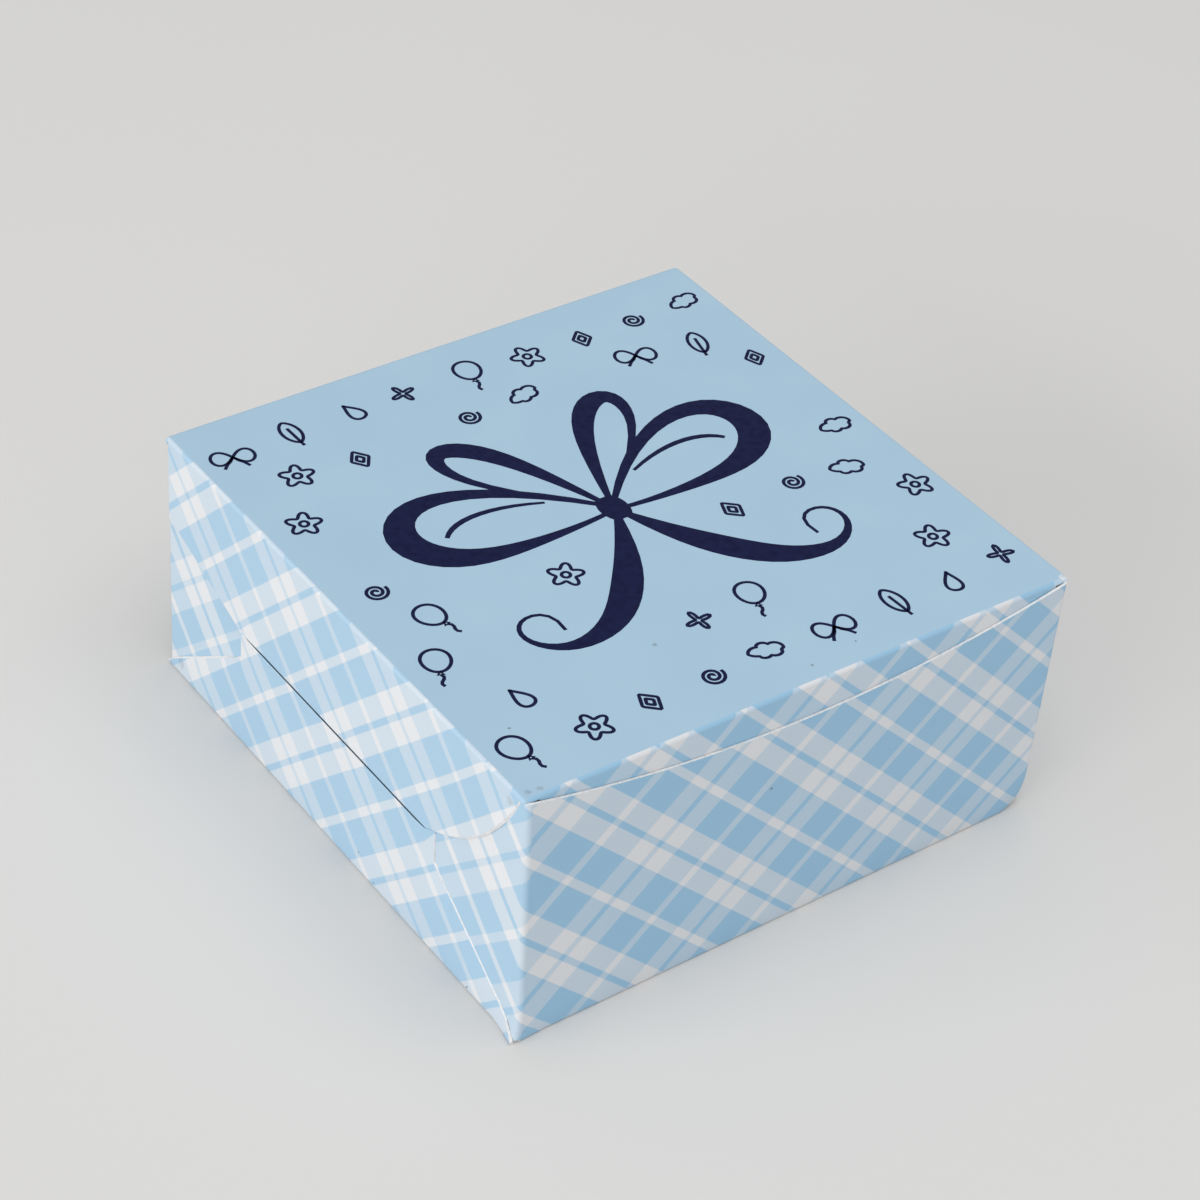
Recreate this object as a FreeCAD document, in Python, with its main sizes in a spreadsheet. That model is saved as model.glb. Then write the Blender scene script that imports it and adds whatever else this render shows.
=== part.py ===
import FreeCAD, Part
import Sketcher
import math
import os

# A small folding carton for sweets, erected and closed: one cut, creased and printed sheet of board.
# Millimetres, +Z up. The origin is at the middle of the underside, the front faces -Y.
# Every panel between two creases is a piece of its own. The four creases that work, round the lid,
# are rounded beads on the lid, and the panel that turns round a bead has a groove that fits it.

doc = FreeCAD.newDocument("sweet_box")
sheet = doc.addObject("Spreadsheet::Sheet", "sizes")

SIZES = [
    ("width", 106.0, "outside, from side panel to side panel, along X"),
    ("depth", 107.0, "outside, from front wall to back wall, along Y"),
    ("height", 48.5, "outside, from the underside to the top of the lid"),
    ("board", 0.45, "thickness of the board"),
    ("fold_radius", 0.6, "outside radius of the folds round the base"),
    ("corner_radius", 2.0, "outside radius of the upright folds between wall and wing"),
    ("crease_radius", 0.5, "radius of the bead along each crease of the lid"),
    ("crease_play", 0.08, "gap between a bead and the groove that turns round it"),
    ("glue_film", 0.12, "thickness of the glue between wing and side panel"),
    ("glue_margin", 2.0, "from the edges of the lap to the glue"),
    ("lid_play", 0.15, "from the beads of the lid down to the top edge of the wings"),
    ("base_play", 0.15, "from the base up to the lower edge of the wings"),
    ("front_top_drop", 0.5, "from the top of the lid down to the corners of the front wall"),
    ("thumb_dip", 5.8, "depth of the hollow arc in the top edge of the front wall"),
    ("wing_gap", 5.0, "between the free ends of the front and back wings, half-way along each side"),
    ("wing_round", 5.0, "radius of the free upper corner of a wing"),
    ("panel_end_gap", 0.4, "from the front and back of the box to the ends of a side panel"),
    ("shoulder_height", 18.1, "from the underside to where the slanted edges of a side panel end"),
    ("tongue_width", 58.0, "width of the upper, square part of a side panel"),
    ("slit_height", 23.8, "from the underside to the top edge of a side panel"),
    ("slit_gap", 0.3, "from that edge up to the lower edge of the lid's side flap"),
    ("flap_back_gap", 1.5, "from the back of the box to the end of a lid side flap"),
    ("flap_front_gap", 2.5, "from the front of the box to the front end of a lid side flap"),
    ("flap_back_depth", 16.0, "length of the back end of a lid side flap, down from the lid's top"),
    ("flap_front_depth", 1.4, "the same at its front end, where the rounded ear starts"),
    ("ear_radius", 45.0, "radius of the rounded front ear of a lid side flap"),
    ("tuck_gap", 0.3, "from the inside of the front wall to the tuck flap at its crease"),
    ("tuck_side_gap", 0.3, "from the upright folds to the sides of the tuck flap"),
    ("tuck_depth", 16.0, "from the top of the lid to the free edge of the tuck flap"),
    ("tuck_round", 9.0, "radius of the free corners of the tuck flap"),
    ("tuck_lean", 5.0, "lean of the tuck flap into the box, in degrees"),
]
for row, (alias, value, note) in enumerate(SIZES, start=1):
    sheet.set(f"A{row}", note)
    sheet.set(f"B{row}", str(value))
    sheet.setAlias(f"B{row}", alias)
doc.recompute()

# Formulas that several pieces share.
WING_FACE = "(sizes.width / 2 - sizes.board - sizes.glue_film)"
WALL_HALF = f"({WING_FACE} - sizes.corner_radius)"
WING_FOOT = "(sizes.board + sizes.base_play)"
WING_TOP = "(sizes.height - 2 * sizes.crease_radius - sizes.lid_play)"
CREASE_Z = "(sizes.height - sizes.crease_radius)"
SIDE_CREASE_X = "(sizes.width / 2 - sizes.crease_radius)"
BACK_CREASE_Y = "(sizes.depth / 2 - sizes.crease_radius)"
TUCK_FACE_Y = "(-sizes.depth / 2 + sizes.board + sizes.tuck_gap)"
TUCK_CREASE_Y = f"({TUCK_FACE_Y} + sizes.crease_radius)"
TUCK_HALF = f"({WALL_HALF} - sizes.tuck_side_gap)"
GROOVE_RADIUS = "(sizes.crease_radius + sizes.crease_play)"
TONGUE_HALF = "(sizes.tongue_width / 2)"
PANEL_HALF = "(sizes.depth / 2 - sizes.panel_end_gap)"


def value_of(formula):
    return float(sheet.evalExpression(formula))


def minus(formula):
    return f"-({formula})"


def arc_between(start, end, radius, turn):
    """Arc from start to end, to the left of that line for turn -1 and to the right for turn 1."""
    chord = end - start
    to_centre = math.sqrt(radius ** 2 - (chord.Length / 2) ** 2)
    left = FreeCAD.Vector(-chord.y, chord.x, 0).normalize()
    centre = (start + end) / 2 + left * (turn * to_centre)
    first, last = (start, end) if turn > 0 else (end, start)
    angles = [math.atan2(point.y - centre.y, point.x - centre.x) for point in (first, last)]
    circle = Part.Circle(centre, FreeCAD.Vector(0, 0, 1), radius)
    return Part.ArcOfCircle(circle, angles[0], angles[1])


def outline_sketch(body, name, plane, corners, arcs=None, lift="0"):
    """Closed outline on an origin plane, counter-clockwise, with every corner and radius a formula.

    arcs maps the number of the edge that leaves a corner to (radius, turn), turn 1 for an arc
    that bulges outwards and -1 for one that is hollow.
    """
    arcs = arcs or {}
    sketch = body.newObject("Sketcher::SketchObject", name)
    origin_plane = next(item for item in body.Origin.OriginFeatures if item.Role == plane)
    sketch.AttachmentSupport = [(origin_plane, "")]
    sketch.MapMode = "FlatFace"
    sketch.setExpression("AttachmentOffset.Base.z", lift)
    points = [FreeCAD.Vector(value_of(across), value_of(up), 0) for across, up in corners]
    count = len(points)
    ends = []
    for edge in range(count):
        start, end = points[edge], points[(edge + 1) % count]
        if edge in arcs:
            radius, turn = arcs[edge]
            sketch.addGeometry(arc_between(start, end, value_of(radius), turn))
            ends.append((1, 2) if turn > 0 else (2, 1))
        else:
            sketch.addGeometry(Part.LineSegment(start, end))
            ends.append((1, 2))
    for edge in range(count):
        after = (edge + 1) % count
        sketch.addConstraint(Sketcher.Constraint("Coincident", edge, ends[edge][1], after, ends[after][0]))
    for edge, (across, up) in enumerate(corners):
        point = points[edge]
        for kind, formula, place in (("DistanceX", across, point.x), ("DistanceY", up, point.y)):
            number = sketch.addConstraint(Sketcher.Constraint(kind, -1, 1, edge, ends[edge][0], place))
            sketch.setExpression(f"Constraints[{number}]", formula)
    for edge, (radius, turn) in arcs.items():
        number = sketch.addConstraint(Sketcher.Constraint("Radius", edge, value_of(radius)))
        sketch.setExpression(f"Constraints[{number}]", radius)
    return sketch


def pad(body, sketch, length, backwards=False, both_ways=False):
    feature = body.newObject("PartDesign::Pad", sketch.Name + "_pad")
    feature.Profile = sketch
    feature.setExpression("Length", length)
    feature.Reversed = backwards
    feature.Midplane = both_ways
    return feature


def new_body(label):
    body = doc.addObject("PartDesign::Body", label)
    body.Label = label
    return body


def base_fold(body, reach, half_length):
    """Quarter round under a wall, from the edge of the base up to the wall's own plate."""
    outer = minus(reach)
    corners = [
        (outer, "sizes.fold_radius"),
        (f"{outer} + sizes.fold_radius", "0"),
        (f"{outer} + sizes.fold_radius", "sizes.board"),
        (f"{outer} + sizes.board", "sizes.fold_radius"),
    ]
    arcs = {0: ("sizes.fold_radius", 1), 2: ("sizes.fold_radius - sizes.board", -1)}
    sketch = outline_sketch(body, body.Label + "_fold", "YZ_Plane", corners, arcs)
    pad(body, sketch, f"2 * {half_length}", both_ways=True)


def wall_plate(body, reach, corners, arcs=None):
    """Upright plate whose printed face looks along -Y, at that reach from the body's own middle."""
    sketch = outline_sketch(body, body.Label + "_outline", "XZ_Plane", corners, arcs, lift=reach)
    return pad(body, sketch, "sizes.board", backwards=True)


def turned(angle):
    return FreeCAD.Placement(FreeCAD.Vector(), FreeCAD.Rotation(FreeCAD.Vector(0, 0, 1), angle))


def mirrored(source, label, normal):
    copy = doc.addObject("Part::Mirroring", label)
    copy.Label = label
    copy.Source = source
    copy.Normal = normal
    return copy


def base_panel():
    plate = doc.addObject("Part::Box", "base_panel")
    plate.Label = "base_panel"
    plate.setExpression("Length", "sizes.width - 2 * sizes.fold_radius")
    plate.setExpression("Width", "sizes.depth - 2 * sizes.fold_radius")
    plate.setExpression("Height", "sizes.board")
    plate.setExpression("Placement.Base.x", "sizes.fold_radius - sizes.width / 2")
    plate.setExpression("Placement.Base.y", "sizes.fold_radius - sizes.depth / 2")
    return plate


def front_wall():
    """Front wall, with the hollow arc in its top edge that shows the tuck flap behind it."""
    body = new_body("front_wall")
    base_fold(body, "sizes.depth / 2", WALL_HALF)
    top = "sizes.height - sizes.front_top_drop"
    corners = [
        (minus(WALL_HALF), "sizes.fold_radius"),
        (WALL_HALF, "sizes.fold_radius"),
        (WALL_HALF, top),
        (minus(WALL_HALF), top),
    ]
    dip_radius = f"({WALL_HALF} ^ 2 + sizes.thumb_dip ^ 2) / (2 * sizes.thumb_dip)"
    wall_plate(body, "sizes.depth / 2", corners, {2: (dip_radius, -1)})
    return body


def back_wall():
    """Back wall, up to the bead that the lid hangs on."""
    body = new_body("back_wall")
    base_fold(body, "sizes.depth / 2", WALL_HALF)
    top = f"{CREASE_Z} - {GROOVE_RADIUS}"
    corners = [
        (minus(WALL_HALF), "sizes.fold_radius"),
        (WALL_HALF, "sizes.fold_radius"),
        (WALL_HALF, top),
        (minus(WALL_HALF), top),
    ]
    wall_plate(body, "sizes.depth / 2", corners)
    body.Placement = turned(180)
    return body


def left_side_panel():
    """Half-height side panel: slanted ends, and a square tongue up to the slit."""
    body = new_body("left_side_panel")
    base_fold(body, "sizes.width / 2", PANEL_HALF)
    corners = [
        (minus(PANEL_HALF), "sizes.fold_radius"),
        (PANEL_HALF, "sizes.fold_radius"),
        (TONGUE_HALF, "sizes.shoulder_height"),
        (TONGUE_HALF, "sizes.slit_height"),
        (minus(TONGUE_HALF), "sizes.slit_height"),
        (minus(TONGUE_HALF), "sizes.shoulder_height"),
    ]
    wall_plate(body, "sizes.width / 2", corners)
    body.Placement = turned(-90)
    return body


def free_upper_corner(shape):
    """Name of the short edge across the board at the free end and the top of a wing."""
    box = shape.BoundBox
    for number, edge in enumerate(shape.Edges, start=1):
        ends = [vertex.Point for vertex in edge.Vertexes]
        if all(abs(point.y - box.YMax) < 1e-6 and abs(point.z - box.ZMax) < 1e-6 for point in ends):
            return f"Edge{number}"
    raise RuntimeError("the wing has no free upper corner")


def front_left_wing():
    """Wing that comes off the front wall, round the upright fold, and lies behind the side panel."""
    body = new_body("front_left_wing")
    outer_x = minus(WING_FACE)
    front_y = "-sizes.depth / 2"
    end_y = "-sizes.wing_gap / 2"
    corners = [
        (f"{outer_x} + sizes.corner_radius", front_y),
        (f"{outer_x} + sizes.corner_radius", f"{front_y} + sizes.board"),
        (f"{outer_x} + sizes.board", f"{front_y} + sizes.corner_radius"),
        (f"{outer_x} + sizes.board", end_y),
        (outer_x, end_y),
        (outer_x, f"{front_y} + sizes.corner_radius"),
    ]
    arcs = {1: ("sizes.corner_radius - sizes.board", -1), 5: ("sizes.corner_radius", 1)}
    sketch = outline_sketch(body, "wing_outline", "XY_Plane", corners, arcs, lift=WING_FOOT)
    plate = pad(body, sketch, f"{WING_TOP} - {WING_FOOT}")
    doc.recompute()
    rounded = body.newObject("PartDesign::Fillet", "wing_corner")
    rounded.Base = (plate, [free_upper_corner(plate.Shape)])
    rounded.setExpression("Radius", "sizes.wing_round")
    return body


def front_left_glue():
    """Film of glue that holds the slanted end of the side panel to the wing."""
    body = new_body("front_left_glue")
    run = f"({PANEL_HALF} - {TONGUE_HALF})"
    rise = "(sizes.shoulder_height - sizes.fold_radius)"
    margin = "sizes.glue_margin"
    slant_loss = f"{margin} * sqrt(1 / {run} ^ 2 + 1 / {rise} ^ 2)"
    inner = f"{TONGUE_HALF} + {margin}"
    foot = f"sizes.fold_radius + {margin}"
    corners = [
        (inner, foot),
        (f"{TONGUE_HALF} + {run} * (1 - {slant_loss} - {margin} / {rise})", foot),
        (inner, f"sizes.fold_radius + {rise} * (1 - {slant_loss} - {margin} / {run})"),
    ]
    sketch = outline_sketch(body, "glue_outline", "XZ_Plane", corners, lift=WING_FACE)
    pad(body, sketch, "sizes.glue_film")
    body.Placement = turned(-90)
    return body


def crease_groove(body, half_length):
    """Round groove, about the body's own X axis, in which the bead of the lid turns."""
    sketch = body.newObject("Sketcher::SketchObject", body.Label + "_groove")
    plane = next(item for item in body.Origin.OriginFeatures if item.Role == "YZ_Plane")
    sketch.AttachmentSupport = [(plane, "")]
    sketch.MapMode = "FlatFace"
    circle = Part.Circle(FreeCAD.Vector(), FreeCAD.Vector(0, 0, 1), value_of(GROOVE_RADIUS))
    sketch.addGeometry(circle)
    sketch.addConstraint(Sketcher.Constraint("Coincident", 0, 3, -1, 1))
    number = sketch.addConstraint(Sketcher.Constraint("Radius", 0, value_of(GROOVE_RADIUS)))
    sketch.setExpression(f"Constraints[{number}]", GROOVE_RADIUS)
    doc.recompute()
    before = body.Shape.Volume
    groove = body.newObject("PartDesign::Pocket", body.Label + "_groove_cut")
    groove.Profile = sketch
    groove.Midplane = True
    groove.setExpression("Length", f"2 * {half_length}")
    doc.recompute()
    if not body.Shape.Volume < before:
        raise RuntimeError(body.Label + ": the groove cuts nothing")


def lid_panel():
    """Lid plate with a bead along each of its four creases."""
    plate = doc.addObject("Part::Box", "lid_plate")
    plate.setExpression("Length", f"2 * {SIDE_CREASE_X}")
    plate.setExpression("Width", f"{BACK_CREASE_Y} - {TUCK_CREASE_Y}")
    plate.setExpression("Height", "sizes.board")
    plate.setExpression("Placement.Base.x", minus(SIDE_CREASE_X))
    plate.setExpression("Placement.Base.y", TUCK_CREASE_Y)
    plate.setExpression("Placement.Base.z", "sizes.height - sizes.board")
    along_x = FreeCAD.Rotation(FreeCAD.Vector(0, 1, 0), 90)
    along_y = FreeCAD.Rotation(FreeCAD.Vector(1, 0, 0), -90)
    lid_run = f"{BACK_CREASE_Y} - {TUCK_CREASE_Y}"
    beads = [
        ("left_bead", along_y, minus(SIDE_CREASE_X), TUCK_CREASE_Y, lid_run),
        ("right_bead", along_y, SIDE_CREASE_X, TUCK_CREASE_Y, lid_run),
        ("front_bead", along_x, minus(TUCK_HALF), TUCK_CREASE_Y, f"2 * {TUCK_HALF}"),
        ("back_bead", along_x, minus(WALL_HALF), BACK_CREASE_Y, f"2 * {WALL_HALF}"),
    ]
    pieces = [plate]
    for name, direction, start_x, start_y, length in beads:
        bead = doc.addObject("Part::Cylinder", name)
        bead.Placement = FreeCAD.Placement(FreeCAD.Vector(), direction)
        bead.setExpression("Radius", "sizes.crease_radius")
        bead.setExpression("Height", length)
        bead.setExpression("Placement.Base.x", start_x)
        bead.setExpression("Placement.Base.y", start_y)
        bead.setExpression("Placement.Base.z", CREASE_Z)
        pieces.append(bead)
    panel = doc.addObject("Part::MultiFuse", "lid_panel")
    panel.Label = "lid_panel"
    panel.Shapes = pieces
    return panel


def left_lid_flap():
    """Side flap of the lid: straight lower edge along the slit, and a rounded ear at the front."""
    body = new_body("left_lid_flap")
    back = minus("sizes.depth / 2 - sizes.flap_back_gap")
    front = "sizes.depth / 2 - sizes.flap_front_gap"
    lower = f"sizes.slit_height + sizes.slit_gap - {CREASE_Z}"
    corners = [
        (back, "0"),
        (back, "sizes.crease_radius - sizes.flap_back_depth"),
        (minus(TONGUE_HALF), lower),
        (TONGUE_HALF, lower),
        (front, "sizes.crease_radius - sizes.flap_front_depth"),
        (front, "0"),
    ]
    wall_plate(body, "sizes.crease_radius", corners, {3: ("sizes.ear_radius", 1)})
    crease_groove(body, "sizes.depth")
    body.Placement = turned(-90)
    body.setExpression("Placement.Base.x", minus(SIDE_CREASE_X))
    body.setExpression("Placement.Base.z", CREASE_Z)
    return body


def tuck_flap():
    """Front flap of the lid, tucked behind the front wall and leaning a little into the box."""
    body = new_body("tuck_flap")
    free_edge = "sizes.crease_radius - sizes.tuck_depth"
    inner = f"{TUCK_HALF} - sizes.tuck_round"
    corners = [
        (minus(TUCK_HALF), "0"),
        (minus(TUCK_HALF), f"{free_edge} + sizes.tuck_round"),
        (minus(inner), free_edge),
        (inner, free_edge),
        (TUCK_HALF, f"{free_edge} + sizes.tuck_round"),
        (TUCK_HALF, "0"),
    ]
    arcs = {1: ("sizes.tuck_round", 1), 3: ("sizes.tuck_round", 1)}
    wall_plate(body, "sizes.crease_radius", corners, arcs)
    crease_groove(body, "sizes.width")
    body.Placement = FreeCAD.Placement(FreeCAD.Vector(), FreeCAD.Rotation(FreeCAD.Vector(1, 0, 0), 1))
    body.setExpression("Placement.Rotation.Angle", "sizes.tuck_lean")
    body.setExpression("Placement.Base.y", TUCK_CREASE_Y)
    body.setExpression("Placement.Base.z", CREASE_Z)
    return body


across_x = FreeCAD.Vector(1, 0, 0)
across_y = FreeCAD.Vector(0, 1, 0)

left_panel = left_side_panel()
left_flap = left_lid_flap()
front_left = front_left_wing()
front_left_film = front_left_glue()
back_left = mirrored(front_left, "back_left_wing", across_y)
back_left_film = mirrored(front_left_film, "back_left_glue", across_y)

pieces = [
    base_panel(),
    front_wall(),
    back_wall(),
    left_panel,
    mirrored(left_panel, "right_side_panel", across_x),
    front_left,
    mirrored(front_left, "front_right_wing", across_x),
    back_left,
    mirrored(back_left, "back_right_wing", across_x),
    front_left_film,
    mirrored(front_left_film, "front_right_glue", across_x),
    back_left_film,
    mirrored(back_left_film, "back_right_glue", across_x),
    lid_panel(),
    left_flap,
    mirrored(left_flap, "right_lid_flap", across_x),
    tuck_flap(),
]
doc.recompute()

for item in doc.Objects:
    if "Invalid" in item.State or "Error" in item.State:
        raise RuntimeError(f"{item.Label} failed: {item.State}")
for piece in pieces:
    if piece.Shape.isNull() or not piece.Shape.isValid() or len(piece.Shape.Solids) != 1:
        raise RuntimeError(f"{piece.Label} is not one valid solid")

os.makedirs("parts", exist_ok=True)
for piece in pieces:
    piece.Shape.exportStep(f"parts/{piece.Label}.step")
    print(f"{piece.Label}: {piece.Shape.Volume:.1f} mm3")
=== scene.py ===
import math
import random

import bpy
from mathutils import Matrix, Vector


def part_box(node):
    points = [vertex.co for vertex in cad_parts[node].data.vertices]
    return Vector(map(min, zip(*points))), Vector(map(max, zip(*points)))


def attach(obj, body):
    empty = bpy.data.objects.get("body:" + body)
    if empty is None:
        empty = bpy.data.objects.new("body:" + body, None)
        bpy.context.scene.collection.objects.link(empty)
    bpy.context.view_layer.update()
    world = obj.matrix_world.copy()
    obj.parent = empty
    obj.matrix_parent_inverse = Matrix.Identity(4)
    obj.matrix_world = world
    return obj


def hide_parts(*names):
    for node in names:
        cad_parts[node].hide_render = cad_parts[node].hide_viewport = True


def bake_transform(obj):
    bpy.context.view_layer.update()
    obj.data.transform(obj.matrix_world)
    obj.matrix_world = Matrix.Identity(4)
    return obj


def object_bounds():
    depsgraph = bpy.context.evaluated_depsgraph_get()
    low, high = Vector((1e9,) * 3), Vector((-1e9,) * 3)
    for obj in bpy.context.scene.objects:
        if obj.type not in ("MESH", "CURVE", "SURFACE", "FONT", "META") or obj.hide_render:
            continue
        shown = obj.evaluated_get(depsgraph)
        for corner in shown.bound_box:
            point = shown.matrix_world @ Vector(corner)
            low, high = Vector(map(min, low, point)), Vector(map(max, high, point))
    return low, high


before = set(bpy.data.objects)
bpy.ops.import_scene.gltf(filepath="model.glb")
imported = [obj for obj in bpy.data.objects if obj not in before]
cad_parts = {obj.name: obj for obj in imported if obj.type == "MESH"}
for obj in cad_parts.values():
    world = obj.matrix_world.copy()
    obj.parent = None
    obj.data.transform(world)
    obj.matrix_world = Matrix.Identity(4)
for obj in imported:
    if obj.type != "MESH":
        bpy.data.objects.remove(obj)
CAD_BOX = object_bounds()

# Sizes in metres. The board lies where the frame has it.
MM = 0.001
HIGH = CAD_BOX[1]
HALF_WIDTH = HIGH.x
HALF_DEPTH = HIGH.y
TOP = HIGH.z
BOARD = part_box("base_panel")[1].z
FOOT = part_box("front_left_wing")[0].z
WALL_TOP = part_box("front_wall")[1].z
WING_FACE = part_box("front_right_wing")[1].x
WING_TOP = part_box("front_left_wing")[1].z
WING_END = 0.25 * MM
CORNER_RADIUS = 1.0 * MM
WALL_HALF = WING_FACE - CORNER_RADIUS
SIDE_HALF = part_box("left_side_panel")[1].y
TONGUE_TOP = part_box("left_side_panel")[1].z
FLAP_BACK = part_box("left_lid_flap")[1].y
FLAP_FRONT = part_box("left_lid_flap")[0].y
FLAP_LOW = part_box("left_lid_flap")[0].z
TUCK_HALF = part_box("tuck_flap")[1].x
TUCK_CLOSE = 0.15 * MM
TUCK_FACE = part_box("lid_panel")[0].y - TUCK_CLOSE
FOLD_RADIUS = 0.6 * MM
LID_HALF = HALF_WIDTH - FOLD_RADIUS
LID_FRONT = TUCK_FACE + FOLD_RADIUS
BACK_RADIUS = 1.2 * MM
BACK_TOP = TOP - BACK_RADIUS
LID_BACK = HALF_DEPTH - BACK_RADIUS

# The die cut: what the outlines need beside the boxes above.
SHOULDER_HEIGHT = 18.1 * MM
TONGUE_HALF = 29.0 * MM
FLAP_BACK_LOW = TOP - 16.0 * MM
FLAP_FRONT_LOW = TOP - 1.4 * MM
EAR_RADIUS = 45.0 * MM
THUMB_DIP = 5.8 * MM
WING_ROUND = 5.0 * MM
TUCK_DEPTH = 16.0 * MM
TUCK_ROUND = 9.0 * MM
TUCK_LEAN = math.radians(5.0)

# How finely each sheet is divided, across and up, and the steps of its folds and round cuts.
BASE_GRID = (12, 12)
WALL_GRID = (48, 16)
SIDE_GRID = (40, 8)
WING_GRID = (16, 16)
LID_GRID = (40, 40)
FLAP_GRID = (40, 10)
TUCK_GRID = (48, 16)
CREASE_STEPS = 8
FOOT_STEPS = 4
EAR_STEPS = 14
ROUND_STEPS = 8
SMOOTH_ANGLE = math.radians(35.0)
NEAR = 0.01 * MM

# The box has been handled: its front leans back at the left end, and two bottom corners are knocked.
WALL_LEAN = 1.75 * MM
LID_LEAN = 1.7 * MM
CORNER_PUSH = 0.4 * MM
PUSH_START = 30.0 * MM
PUSH_POWER = 8
RIGHT_CRUSH = Vector((-0.9, 0.9, 1.2)) * MM
LEFT_SPLAY = Vector((-1.1, -0.35, 0.0)) * MM
CRUSH_REACH = 6.0 * MM
CRUSH_POWER = 1.5

# The side panels' ends are pressed on the wings, and the slit above the tongue gapes a little.
EDGE_PRESS = 0.4 * MM
PRESS_REACH = 3.0 * MM
INSIDE_PRESS = 0.28
BACK_PRESS = 0.7
EDGE_BEVEL = 0.25 * MM
EDGE_NEAR = 0.05 * MM
SLIT_BEVEL = 0.7 * MM
SLIT_OPEN = 0.14 * MM
SLIT_CLOSE = 0.2 * MM
SLIT_CLOSE_RUN = 9.0 * MM
TONGUE_TIP = 1.0 * MM

# The ears of the flaps stand off the wings, and the left one is drawn back.
EAR_STAND = 0.45 * MM
EAR_STAND_RUN = 12.0 * MM
EAR_LIFT = 1.1 * MM
EAR_BACK = 0.85 * MM
EAR_BEVEL = 0.4 * MM
EAR_NEAR = 0.15 * MM

# The tuck springs against the front wall below its crease. The lid's tips keep clear of its side creases.
TUCK_TOUCH = 0.06 * MM
TUCK_SPRING = 1.5 * MM
TUCK_LEAVE = 7.0 * MM
TIP_GAP = 0.05 * MM

# Turns that lay a flat sheet on each side of the box, its face outwards and its top up.
FLAT = (0.0, 0.0, 0.0)
FRONT = (math.pi / 2, 0.0, 0.0)
LEFT = (math.pi / 2, 0.0, -math.pi / 2)
RIGHT = (math.pi / 2, 0.0, math.pi / 2)
BACK = (math.pi / 2, 0.0, math.pi)
DOWN = (math.pi, 0.0, 0.0)
UP = Vector((0.0, 0.0, 1.0))

# The camera, found from the straight edges of the box in the photograph.
CAMERA_PLACE = (-0.256272, -0.313406, 0.350920)
CAMERA_RIGHT = (0.8086107, -0.5837235, 0.0735908)
CAMERA_UP = (0.3187687, 0.5398011, 0.7791029)
CAMERA_BACK = (-0.4945051, -0.6065325, 0.6225617)
CAMERA_LENS = 92.916
CAMERA_SENSOR = 36.0
CAMERA_NEAR = 0.01

# The light: each lamp's name, place, width, height, power and colour.
LAMPS = (
    ("key", (-1.8, -0.16, 0.54), 2.8, 0.9, 23.0, (1.0, 0.99, 0.975)),
    ("top", (0.1, -0.25, 1.3), 1.2, 1.2, 6.4, (1.0, 0.995, 0.985)),
)
LAMP_TARGET = (0, 0, 0.02)
SKY_COLOUR = (0.97, 0.985, 1.0, 1.0)
SKY_STRENGTH = 0.57
FLOOR_SIZE = 4.0


def srgb(red, green, blue):
    """A colour given as 0 to 255 screen values, as linear light."""
    def linear(value):
        value = value / 255
        if value <= 0.04045:
            return value / 12.92
        return ((value + 0.055) / 1.055) ** 2.4
    return (linear(red), linear(green), linear(blue), 1.0)


PRINT_BLUE = srgb(165, 197, 220)
# Painted shade: a deeper, more saturated copy of the print's blue for the front wall and the tuck, which
# face away from the lamps.
SHADED_FRONT_BLUE = srgb(152, 193, 221)
PRINT_WHITE = srgb(221, 223, 226)
LID_BLUE = srgb(166, 196, 217)
LID_PALE = srgb(169, 198, 218)
NAVY = srgb(8, 14, 54)
THIN_NAVY = srgb(15, 22, 64)
BOARD_WHITE = srgb(224, 221, 213)
BOARD_SHADE = srgb(213, 209, 200)
EDGE_WHITE = srgb(232, 232, 232)
EDGE_SHADE = srgb(214, 214, 214)
GLUE_TAN = srgb(214, 208, 190)
GLUE_DARK = srgb(205, 197, 174)
GLUE_PALE = srgb(224, 219, 204)
# Dark specks of dirt, and the colour of one spot of painted shade in the plaid's marks.
DIRT_AND_SHADE = srgb(96, 96, 98)
FLOOR_GREY = srgb(218, 216, 214)
FLOOR_PALE = srgb(221, 220, 218)

# The stripes of the plaid, as shares of a repeat, and how white each family prints.
LINE_HALF = 0.020
BAND_HALF = 0.187
THIN_LINE = 0.462
STRIPE_BLUR = 0.010
MAIN_WHITE = 0.6
CROSS_WHITE = 0.4
# Painted shade: where, towards the front, the plaid's blue starts to deepen into the shaded front blue,
# and where it is full.
FRONT_SHADE_START = -46.0 * MM
FRONT_SHADE_FULL = -49.0 * MM

# The varnished print: the darkest tone of its mottle, and how folds and corners rub.
MOTTLE_TONE = (0.985, 0.987, 0.99, 1.0)
FULL_TONE = (1.0, 1.0, 1.0, 1.0)
WEAR_REACH = 0.7 * MM
WEAR_STRENGTH = 0.07

# Scuffs and specks of dirt, and on the plaid one soft spot of painted shade: centre and reach in
# millimetres, and strength.
LID_MARKS = (
    ((-51.3, -49.6, 48.5), 1.3, 0.3),
    ((-49.3, -49.8, 48.5), 1.1, 0.3),
    ((-15.2, -32.1, 48.5), 1.0, 0.4),
    ((-45.6, -36.6, 48.5), 0.6, 0.7),
    ((12.5, -47.5, 48.5), 0.5, 0.6),
    ((2.9, -48.5, 48.5), 0.6, 0.5),
)
PLAID_MARKS_AND_SHADE = (
    ((-53.2, -47.9, 46.2), 2.0, 0.22),
    # Painted shade: a soft dark spot in the gap at the foot of the left side panel's back edge, where it
    # stands off its wing.
    ((-52.6, 49.0, 2.6), 2.6, 0.25),
    ((-53.0, -8.6, 4.2), 0.5, 0.8),
    ((-53.0, -13.2, 1.1), 0.6, 0.7),
    ((-53.0, -40.3, 0.9), 0.6, 0.8),
    ((-6.1, -53.0, 30.4), 0.7, 0.7),
)
RUBBED_TIP = (52.5, -52.3, 48.3)
RUBBED_REACH = 2.2
RUBBED_STRENGTH = 0.8


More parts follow.
